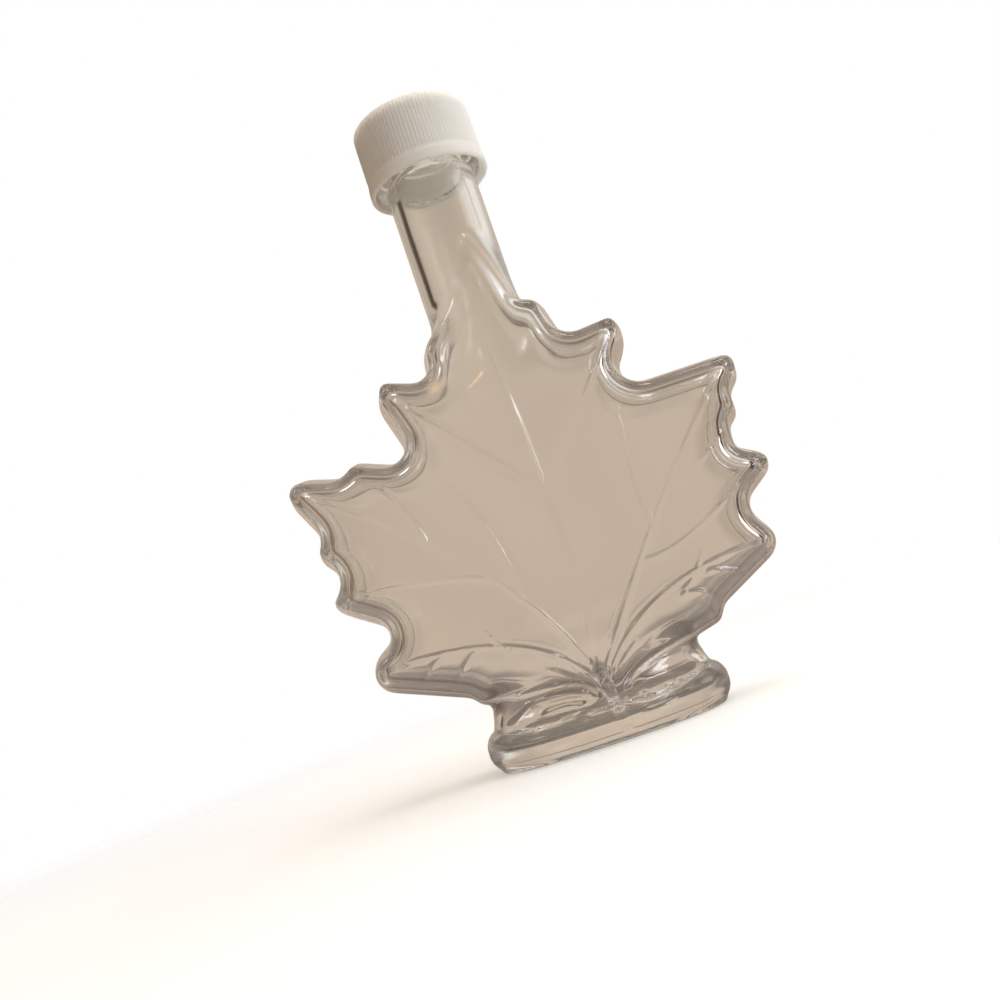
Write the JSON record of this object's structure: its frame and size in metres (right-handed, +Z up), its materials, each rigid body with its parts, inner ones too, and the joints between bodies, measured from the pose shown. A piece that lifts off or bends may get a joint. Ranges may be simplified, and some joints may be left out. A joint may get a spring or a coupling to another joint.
{
  "type": "maple leaf bottle",
  "caption": "Clear glass bottle shaped like a flat maple leaf standing on an oval foot, with a straight round neck and a ribbed white screw cap.",
  "frame": {"origin": "on the floor under the neck's axis, in the middle of the foot's flat underside", "axes": "+Z up along the neck's axis, +X across the leaf to the front viewer's right, -Y out of the leaf's front face"},
  "size_m": [0.1136, 0.0402, 0.1616],
  "materials": {
    "clear_glass": "polished clear glass",
    "white_plastic": "satin white"
  },
  "bodies": {
    "root": {"bottle": "clear_glass", "cap": "white_plastic"}
  },
  "joints": []
}
